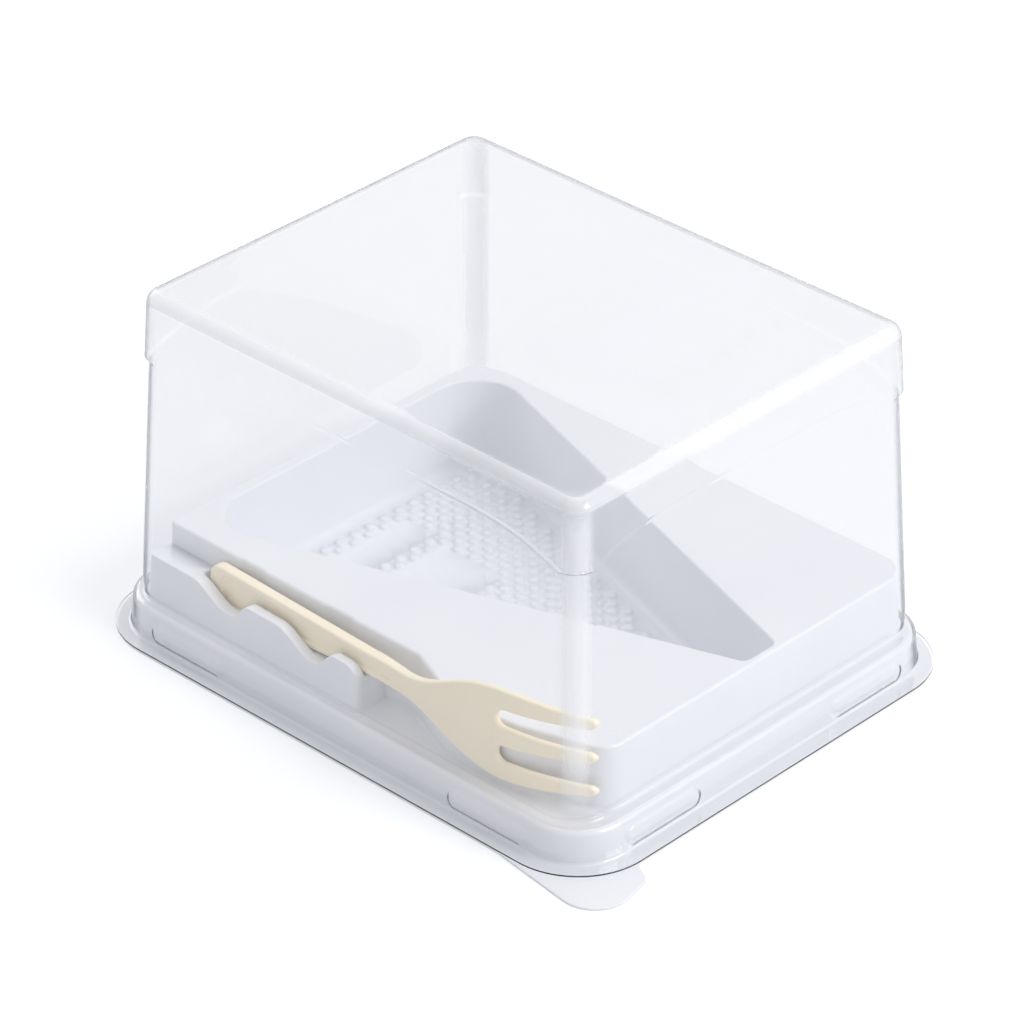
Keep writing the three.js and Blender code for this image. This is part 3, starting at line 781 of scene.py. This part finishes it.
def pad_cell(x, y):
    """Grid cell of each plan point, its place in the cell, and whether that cell has a pad."""
    turned = np.stack([x, y], axis=1) @ pad_turn / pad_pitch
    cell = np.round(turned)
    middle = cell * pad_pitch @ pad_turn.T
    reach = pad_half * np.sqrt(2)
    half = np.interp(middle[:, 0] + reach, pocket_corners[[0, 1], 0], pocket_end_half)
    lost = floor_inset[0] + 0.4 * mm
    there = np.abs(middle[:, 1] - pocket_axis) + reach < half - lost
    there &= (middle[:, 0] - reach > pocket_corners[0, 0] + lost)
    there &= (middle[:, 0] + reach < pocket_corners[1, 0] - lost)
    for low, high in (plain_bar, plain_panel):
        there &= ~((middle > low - reach * 0.6) & (middle < high + reach * 0.6)).all(axis=1)
    corner = np.hypot(middle[:, 0] - pocket_corners[0, 0] - lost - 9 * mm,
                      np.abs(middle[:, 1] - pocket_axis) - pocket_end_half[0] + lost + 9 * mm)
    in_corner = (middle[:, 0] < pocket_corners[0, 0] + lost + 9 * mm)
    in_corner &= np.abs(middle[:, 1] - pocket_axis) > pocket_end_half[0] - lost - 9 * mm
    there &= ~(in_corner & (corner > 9 * mm - reach))
    return cell, (turned - cell) * pad_pitch, there


def floor_height(x, y):
    """Height of the pocket's floor: a pillow in each cell, by a rounded square's distance."""
    _, local, there = pad_cell(x, y)
    size = (np.abs(local) ** 4).sum(axis=1) ** 0.25 / pad_half
    rise = np.interp(size, pad_rings[::-1], pad_rise[::-1])
    return pocket_floor + np.where(there, pad_height * rise, 0.0)


pocket_end_half = np.array([51.5, 5.3]) * mm
pocket_axis = 6.1 * mm
grid = np.stack(np.meshgrid(np.arange(-40, 41), np.arange(-40, 41)), axis=-1).reshape(-1, 2)
spots = grid * pad_pitch @ pad_turn.T
spots = spots[pad_cell(*spots.T)[2]]
around = (np.arange(8) + 0.5) * np.pi / 4
ring = np.stack([np.cos(around), np.sin(around)], axis=1)
ring /= ((np.abs(ring) ** 4).sum(axis=1) ** 0.25)[:, None]
ring = ring @ pad_turn.T
pad_lines = [(spot + ring * size * pad_half, True) for spot in spots for size in pad_rings]

tray_sheet = Sheet()
tray_sheet.band(pocket_rows)
tray_sheet.band(plinth_rows)
tray_sheet.band(tray_skirt)
tray_sheet.band(flange_rows)
tray_sheet.fill(pocket_rows[0], lines=pad_lines, height=floor_height)
tray_sheet.fill(plinth_rows[0], [pocket_rows[-1]])
tray_sheet.fill(tray_skirt[0], [plinth_rows[-1]])
tray_sheet.fill(flange_rows[0], [tray_skirt[-1]])
base_tray = tray_sheet.make("tray_shell")
solidify(base_tray, tray_wall)

# Fork rail: a ridge of the same white sheet along the plinth's front, with the handle's slot behind
# it and two scallops for the fingers. Its height is a function of the place in plan, and its
# triangles follow that function's own contour lines.
rail_top = 20.6 * mm
rail_left = -70.0 * mm
rail_right = 2.2 * mm
rail_reach = 56.9 * mm
rail_slope = 0.1
rail_splay = 0.018
rail_corners = np.array([2.0, 1.2]) * mm
rail_edge = 0.4 * mm
rail_end_round = 4.5 * mm
rail_tilt = 0.1
rail_foot = 0.5 * mm
slot_left = -53.8 * mm
slot_start = 11.6 * mm
slot_rise = 0.104
slot_side = 1.85 * mm
slot_edge = 0.35 * mm
slot_fillet = 0.6 * mm
slot_corner = 1.0 * mm
scallop_depth = 4.8 * mm
scallop_left = 12.6 * mm
scallop_right = 7.0 * mm
scallop_flat = 0.8 * mm
fork_tail = -52.4 * mm
fork_splay = 0.036
handle_thickness = 3.0 * mm
tail_y = -(step_back + dome_slope * (plinth_top - slot_start)) - 0.25 * mm - handle_thickness / 2


def handle_y(x):
    """Middle line of the fork's handle in plan, splayed outwards from its tail."""
    return tail_y - fork_splay * (x - fork_tail)


def slot_floor(x):
    """Height of the slot's floor: it rises under the handle's lower edge."""
    return slot_start + slot_rise * np.clip(x - fork_tail, 0, None)


wall_depth = rail_top - ledge
out, down = round_edge(rail_edge, 5)
fall = np.linspace(0.1, 0.94, 6) * wall_depth
foot_out, foot_up = round_edge(rail_foot, 4)
side_d = np.concatenate([out - rail_edge, rail_slope * fall])
side_drop = np.concatenate([down, fall])
last_drop = wall_depth + 0.05 * mm - side_drop[-1]
side_drop = np.append(side_drop, side_drop[-1] + last_drop * foot_out[1:] / rail_foot)
side_d = np.append(side_d, side_d[-1] + 0.04 * mm + foot_up[1:])
side_part = 1 - side_drop / wall_depth
slot_depth = rail_top - slot_start
out, up = round_edge(slot_fillet, 5)
edge_out, edge_down = round_edge(slot_edge, 4)
slot_d = np.concatenate([out - slot_fillet, 0.25 * mm + (slot_edge - edge_out)[::-1]])
slot_part = np.concatenate([up, slot_depth - edge_down[::-1]]) / slot_depth


def rail_plan_distance(x, y):
    """Distance outside the rail's top outline: a box with a round corner at each end."""
    middle = (rail_left + rail_right) / 2
    radius = np.where(x > middle, rail_corners[1], rail_corners[0])
    along = np.abs(x - middle) - (rail_right - rail_left) / 2 + radius
    across = -y - rail_splay * (x - slot_left) - rail_reach + radius
    return np.hypot(np.maximum(along, 0), np.maximum(across, 0)) + np.minimum(
        np.maximum(along, across), 0) - radius


def rail_crest(x, y):
    """Height of the rail without its slot and sides: scallops, a round end and an inward tilt.

    Each scallop eases down along its long left side and back up along its short right side.
    """
    dip = 0
    for place in scallop_places:
        left = (x - place + scallop_left) / (scallop_left - scallop_flat)
        right = (place + scallop_right - x) / (scallop_right - scallop_flat)
        dip = dip + smooth_step(np.minimum(left, right))
    past = np.clip(x - rail_right - rail_slope * rail_end_round + rail_end_round, 0, rail_end_round)
    end = rail_end_round - np.sqrt(rail_end_round ** 2 - past ** 2)
    tilt = rail_tilt * np.clip(y + rail_reach, 0, None)
    return rail_top - scallop_depth * dip - end - tilt


def rail_height(x, y):
    """Height of the rail: its sides and slot fall from the crest by their own profiles."""
    crest = rail_crest(x, y)
    side = ledge + (crest - ledge) * np.interp(rail_plan_distance(x, y), side_d, side_part)
    floor = np.minimum(slot_floor(x), crest)
    beyond = slot_corner - np.stack([x - slot_left, y - handle_y(x) + slot_side])
    distance = np.hypot(*np.clip(beyond, 0, None)) + np.minimum(beyond.max(axis=0), 0) - slot_corner
    slot = floor + (crest - floor) * np.interp(distance, slot_d, slot_part)
    return np.minimum(side, slot)


def rail_path(distance, wall_y):
    """Contour of the rail's side at a distance outside its top outline, from wall to wall."""
    corners = np.array([
        [rail_left, wall_y, 0.0], [rail_left, -rail_reach, rail_corners[0]],
        [rail_right, -rail_reach, rail_corners[1]], [rail_right, wall_y, 0.0]])
    path = rounded_loop(corners, -distance, 0.6 * mm, 8, closed=False)
    path[:, 1] -= rail_splay * (path[:, 0] - slot_left)
    path = path[path[:, 1] < wall_y - 0.01 * mm]
    return np.concatenate([[[path[0, 0], wall_y]], path, [[path[-1, 0], wall_y]]])


rail_wall_y = -step_back - 0.2 * mm
notch_wall_y = -step_back + 0.05 * mm
foot_path = rail_path(side_d[-1], rail_wall_y)
slot_end = foot_path[-1, 0]
rail_outline = np.concatenate([foot_path, [
    [place + side * (notch_half + 1 * mm), y] for place in scallop_places[::-1]
    for side, y in ((1, rail_wall_y), (1, notch_wall_y), (-1, notch_wall_y), (-1, rail_wall_y))]])
rail_lines = [(rail_path(d, rail_wall_y), False) for d in np.append(side_d[:-1], side_d[0] - support)]
slot_x = np.linspace(slot_left + slot_corner, slot_end - 0.01 * mm, 110)
for d in np.append(slot_d, slot_d[-1] + support):
    bend = np.linspace(np.pi, 1.5 * np.pi, 7)
    corner = np.array([slot_left, handle_y(slot_left) - slot_side]) + slot_corner
    arc = corner + (slot_corner + d) * np.stack([np.cos(bend), np.sin(bend)], axis=1)
    run = np.stack([slot_x[1:], handle_y(slot_x[1:]) - slot_side - d], axis=1)
    rail_lines.append((np.concatenate([[[arc[0, 0], rail_wall_y]], arc, run]), False))
rail_sheet = Sheet()
plan, triangles = contour_triangles(rail_outline, lines=rail_lines)
rail_sheet.add(np.column_stack([plan, rail_height(*plan.T)]), triangles)
fork_rail = rail_sheet.make("fork_rail")
solidify(fork_rail, tray_wall)


def solid_plastic(name, roughness, dark, pale, finish_values):
    """Opaque plastic whose shade drifts from dark to pale with the finish, over a fine grain."""
    material, nodes, links, out = new_material(name)
    skin = nodes.new("ShaderNodeBsdfPrincipled")
    skin.inputs["Roughness"].default_value = roughness
    skin.inputs["IOR"].default_value = 1.5
    finish, skin_normal = add_finish(nodes, links, *finish_values)
    links.new(skin_normal, skin.inputs["Normal"])
    tone = nodes.new("ShaderNodeMix")
    tone.data_type = "RGBA"
    tone.inputs[6].default_value = dark
    tone.inputs[7].default_value = pale
    links.new(finish.outputs["Tone"], tone.inputs[0])
    links.new(tone.outputs[2], skin.inputs["Base Color"])
    links.new(skin.outputs[0], out.inputs["Surface"])
    return material


white_plastic = solid_plastic(
    "white_formed_sheet", 0.32, (0.80, 0.81, 0.85, 1.0), (0.86, 0.87, 0.90, 1.0),
    (30.0, 900.0, 0.05, 0.15, 0.3 * mm))
for piece in (base_tray, fork_rail):
    piece.data.materials.append(white_plastic)
    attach(piece, "tray")
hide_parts("base_tray")

# Fork. One moulding of cream plastic, laid on its edge: a handle with rounded rims, a neck, and a
# head with three tines that bends round the plinth's bulge. Its silhouette is drawn along its
# middle line, and both faces stand off that line by half the thickness.
fork_length = 124.0 * mm
fork_rise = 0.055
tail_height = 11.8 * mm
tail_corner = 4.0 * mm
neck_start = 2.0 * mm
neck_end = 15.0 * mm
neck_height = 6.0 * mm
head_middle = 49.0 * mm
head_width = 24.4 * mm
head_thickness = 1.7 * mm
head_crown = 0.8 * mm
slot_root = 46.8 * mm
slot_root_place = 4.9 * mm
slot_root_radius = 2.3 * mm
tip_pitch = 9.1 * mm
tip_half = 1.4 * mm
edge_round = 0.55 * mm
web_depth = 0.5 * mm
web_rim = 1.6 * mm
fork_tip = fork_tail + fork_length
head_y = -bulge_reach - 1.0 * mm - head_thickness / 2 - head_crown
tip_y = -nose_reach - 2.9 * mm


def fork_y(x):
    """Middle surface of the fork: the handle's line, eased out round the bulge and back again."""
    bulge = head_y - handle_y(head_middle)
    out = smooth_step((x - neck_start) / (32 * mm - neck_start))
    turn = head_middle - 8 * mm
    back = np.clip((x - turn) / (fork_tip - turn), 0, None)
    return handle_y(x) + bulge * out + (tip_y - handle_y(fork_tip) - bulge) * back * back


def fork_z(x):
    """Middle height of the fork, rising from its tail."""
    return slot_start + 0.35 * mm + tail_height / 2 + fork_rise * (x - fork_tail)


def bezier(points, count):
    """Points along a curve by repeated blending of its control points."""
    t = np.linspace(0, 1, count)[:, None]
    points = [np.array(p) for p in points]
    while len(points) > 1:
        points = [a * (1 - t) + b * t for a, b in zip(points, points[1:])]
    return points[0]


tail, neck, head = tail_height / 2, neck_height / 2, head_width / 2
tip_start = fork_tip - tip_half
outer = tip_pitch + tip_half
cheek = 0.6 * mm
upper = [
    bezier([(fork_tail, 0), (fork_tail, tail - tail_corner)], 4),
    bezier([(fork_tail, tail - tail_corner), (fork_tail, tail), (fork_tail + tail_corner, tail)], 10),
    bezier([(fork_tail + tail_corner, tail), (neck_start, neck)], 45),
    bezier([(neck_start, neck), (neck_end, neck)], 14),
    bezier([(neck_end, neck), (neck_end + 12 * mm, neck), (head_middle - 16 * mm, head),
            (head_middle, head)], 36),
    bezier([(head_middle, head), (head_middle + 8 * mm, head),
            (tip_start - 8 * mm, outer + cheek), (tip_start, outer)], 26),
    bezier([(tip_start, outer), (fork_tip + 0.6 * tip_half, tip_pitch),
            (tip_start, tip_pitch - tip_half)], 12),
    bezier([(tip_start, tip_pitch - tip_half),
            (slot_root + slot_root_radius, slot_root_place + slot_root_radius)], 24),
    np.array([slot_root + slot_root_radius, slot_root_place]) + slot_root_radius * np.stack([
        -np.sin(np.linspace(0, np.pi, 12)), np.cos(np.linspace(0, np.pi, 12))], axis=1),
    bezier([(slot_root + slot_root_radius, slot_root_place - slot_root_radius),
            (tip_start, tip_half)], 24),
    bezier([(tip_start, tip_half), (fork_tip + 0.6 * tip_half, 0), (tip_start, -tip_half)], 13)[:7],
]
upper = np.concatenate([segment[:-1] for segment in upper] + [upper[-1][-1:]])
outline = np.concatenate([upper, (upper * [1, -1])[1:-1][::-1]])[::-1]


def loop_distance(loop, x, y):
    """Distance from each point to the nearest edge of a closed loop."""
    a = loop[None]
    step = np.roll(loop, -1, axis=0)[None] - a
    spot = np.stack([x, y], axis=1)[:, None] - a
    along = np.clip((spot * step).sum(axis=2) / (step * step).sum(axis=2), 0, 1)
    return np.linalg.norm(spot - step * along[..., None], axis=2).min(axis=1)


def drawn_in(loop, distance):
    """Loop moved inwards along its own normals."""
    ahead = np.roll(loop, -1, axis=0) - np.roll(loop, 1, axis=0)
    ahead /= np.linalg.norm(ahead, axis=1)[:, None]
    return loop + distance * np.stack([-ahead[:, 1], ahead[:, 0]], axis=1)


web_left = fork_tail + tail_corner
web_tail = tail_height / 2 - web_rim
web_neck = neck_height / 2 - web_rim
web_corners = np.array([
    [web_left, -web_tail, 1.5 * mm], [neck_end - 4 * mm, -web_neck, 1 * mm],
    [neck_end - 4 * mm, web_neck, 1 * mm], [web_left, web_tail, 1.5 * mm]])


def web_loop(inset):
    """Outline of the shallow web in the handle's face, drawn in by inset."""
    return rounded_loop(web_corners, inset, 1.5 * mm, 6)


def half_thickness(x, v):
    """Half the fork's thickness: a quarter circle at its edge, less the web in the handle."""
    thin = smooth_step((x - neck_start) / (head_middle - 16 * mm - neck_start))
    plain = handle_thickness + (head_thickness - handle_thickness) * thin
    lost = edge_round - np.clip(loop_distance(outline, x, v), 0, edge_round)
    edge = edge_round - np.sqrt(edge_round ** 2 - lost ** 2)
    web = web_loop(0.0)
    depth = loop_distance(web, x, v) * inside_loop(web, np.stack([x, v], axis=1))
    return plain / 2 - edge - web_depth * smooth_step(depth / (0.5 * mm))


def fork_points(x, v, side):
    """Places points of the silhouette on one face: bent with the middle surface and bowed."""
    bow = head_crown * smooth_step((x - neck_end) / (head_middle - 6 * mm - neck_end))
    y = fork_y(x) + bow * (v / (0.6 * head_width)) ** 2 + side * half_thickness(x, v)
    return np.column_stack([x, y, fork_z(x) + v])


edge_steps = edge_round * (1 - np.cos(np.linspace(0, np.pi / 2, 6)[1:]))
fork_lines = [(drawn_in(outline, step), True) for step in edge_steps]
fork_lines += [(drawn_in(outline, edge_round + support), True)]
fork_lines += [(web_loop(step * mm), True) for step in (-0.15, 0.0, 0.15, 0.35, 0.5, 0.65)]
for x in np.arange(fork_tail + 3 * mm, fork_tip - 3 * mm, 2.2 * mm):
    fork_lines.append((np.array([[x, -0.7 * head_width], [x, 0.7 * head_width]]), False))
plan, triangles = contour_triangles(outline, lines=fork_lines)
fork_sheet = Sheet()
fork_sheet.add(fork_points(*plan.T, -1), triangles)
fork_sheet.add(fork_points(*plan.T, 1), triangles[:, ::-1])
rim = [fork_points(*outline.T, side) for side in (-1, 1)]
fork_sheet.band(np.array([rim[0] * (1 - part) + rim[1] * part for part in (0, 0.5, 1)]))
fork = fork_sheet.make("fork_moulding")

cream_plastic = solid_plastic(
    "cream_moulding", 0.38, (0.97, 0.86, 0.64, 1.0), (0.99, 0.90, 0.70, 1.0),
    (40.0, 1500.0, 0.08, 0.12, 0.2 * mm))
fork.data.materials.append(cream_plastic)
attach(fork, "tray")
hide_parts("dessert_fork")
